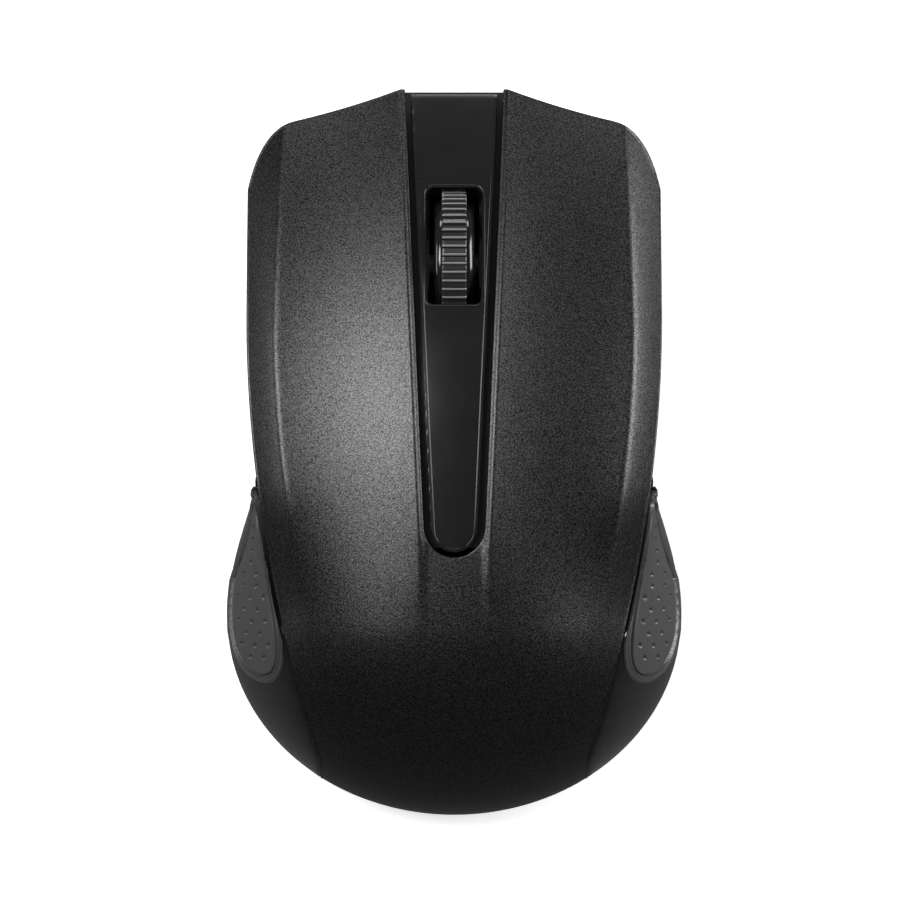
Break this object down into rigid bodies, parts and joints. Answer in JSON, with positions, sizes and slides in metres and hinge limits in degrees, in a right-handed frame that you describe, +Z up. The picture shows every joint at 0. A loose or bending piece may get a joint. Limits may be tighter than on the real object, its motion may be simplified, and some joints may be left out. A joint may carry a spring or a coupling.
{
  "type": "computer mouse",
  "caption": "Cordless computer mouse: two flexing buttons with a scroll wheel between them, flared body, rubber side grips, slide-off battery cover and stowed receiver.",
  "frame": {"origin": "centre of the footprint, on the surface that the mouse stands on", "axes": "+X to the right, +Y towards the nose (buttons), +Z up"},
  "size_m": [0.066, 0.105, 0.038],
  "materials": {
    "shell_paint": "satin, fine metallic grain",
    "satin_black": "satin",
    "gloss_black": "gloss",
    "grip_rubber": "matte, pitted",
    "case_plastic": "fine texture",
    "tread_rubber": "ribbed",
    "nylon": "moulded",
    "steel": "plain",
    "slick_pad": "smooth low friction",
    "cell_wrap": "printed sleeve, plain",
    "board": "solder mask",
    "chip": "moulded epoxy",
    "lens": "clear moulding",
    "led": "tinted clear",
    "white_plastic": "moulded"
  },
  "bodies": {
    "case": {"palm_shell": "shell_paint", "centre_strip": "satin_black", "side_frame": "gloss_black", "left_grip": "grip_rubber", "right_grip": "grip_rubber", "bottom_case": "case_plastic", "front_foot": "slick_pad", "rear_foot_left": "slick_pad", "rear_foot_right": "slick_pad", "case_screw_left": "steel", "case_screw_right": "steel", "case_screw_front": "steel", "board_screw_left": "steel", "board_screw_right": "steel", "cell_left": "cell_wrap", "cell_right": "cell_wrap", "spring_contact_left": "steel", "spring_contact_right": "steel", "plate_contact_left": "steel", "plate_contact_right": "steel", "main_board": "board", "sensor_chip": "chip", "lens_plate": "lens", "illumination_led": "led", "led_clip": "case_plastic", "controller_chip": "chip", "crystal": "steel", "capacitor": "steel", "left_switch": "case_plastic", "right_switch": "case_plastic", "wheel_switch": "case_plastic", "power_switch_body": "steel", "carrier_guide_rear": "nylon", "carrier_guide_front": "nylon", "wheel_leaf_spring": "steel"},
    "left_button": {"left_button": "shell_paint"},
    "right_button": {"right_button": "shell_paint"},
    "left_plunger_body": {"left_plunger": "white_plastic"},
    "right_plunger_body": {"right_plunger": "white_plastic"},
    "wheel_plunger_body": {"wheel_plunger": "white_plastic"},
    "wheel_carrier_body": {"wheel_carrier": "nylon", "encoder_body": "board"},
    "wheel_body": {"wheel_hub": "gloss_black", "wheel_tyre": "tread_rubber", "wheel_axle": "nylon"},
    "power_knob_body": {"power_switch_knob": "white_plastic"},
    "battery_cover_body": {"battery_cover": "case_plastic"},
    "receiver_body": {"receiver_plug": "steel", "receiver_cap": "satin_black"}
  },
  "joints": [
    {"name": "left_button_press", "type": "hinge", "parent": "case", "child": "left_button", "pos_m": [0, -0.012, 0.0362], "axis": [-1, 0, 0], "range_deg": [0, 0.75], "stiffness_Nm_per_rad": 3.2, "springref_deg": -0.69},
    {"name": "right_button_press", "type": "hinge", "parent": "case", "child": "right_button", "pos_m": [0, -0.012, 0.0362], "axis": [-1, 0, 0], "range_deg": [0, 0.75], "stiffness_Nm_per_rad": 3.2, "springref_deg": -0.69},
    {"name": "left_plunger_slide", "type": "slide", "parent": "case", "child": "left_plunger_body", "axis": [0, 0, -1], "range_m": [0, 0.00065]},
    {"name": "right_plunger_slide", "type": "slide", "parent": "case", "child": "right_plunger_body", "axis": [0, 0, -1], "range_m": [0, 0.00065]},
    {"name": "wheel_press", "type": "slide", "parent": "case", "child": "wheel_carrier_body", "axis": [0, 0, -1], "range_m": [0, 0.0005], "stiffness_N_per_m": 900, "springref_m": -0.0006},
    {"name": "wheel_plunger_slide", "type": "slide", "parent": "case", "child": "wheel_plunger_body", "axis": [0, 0, -1], "range_m": [0, 0.00055]},
    {"name": "wheel_spin", "type": "hinge", "parent": "wheel_carrier_body", "child": "wheel_body", "pos_m": [0, 0.0271, 0.023], "axis": [-1, 0, 0], "continuous": true},
    {"name": "power_switch_slide", "type": "slide", "parent": "case", "child": "power_knob_body", "axis": [0, -1, 0], "range_m": [0, 0.0025]},
    {"name": "battery_cover_slide", "type": "slide", "parent": "case", "child": "battery_cover_body", "axis": [0, -1, 0], "range_m": [0, 0.05]},
    {"name": "receiver_slide", "type": "slide", "parent": "case", "child": "receiver_body", "axis": [0, 0, -1], "range_m": [0, 0.012]}
  ],
  "couplings": [
    {"joint": "left_plunger_slide", "follows": "left_button_press", "m_per_rad": 0.048},
    {"joint": "right_plunger_slide", "follows": "right_button_press", "m_per_rad": 0.048},
    {"joint": "wheel_plunger_slide", "follows": "wheel_press", "ratio": 1}
  ]
}
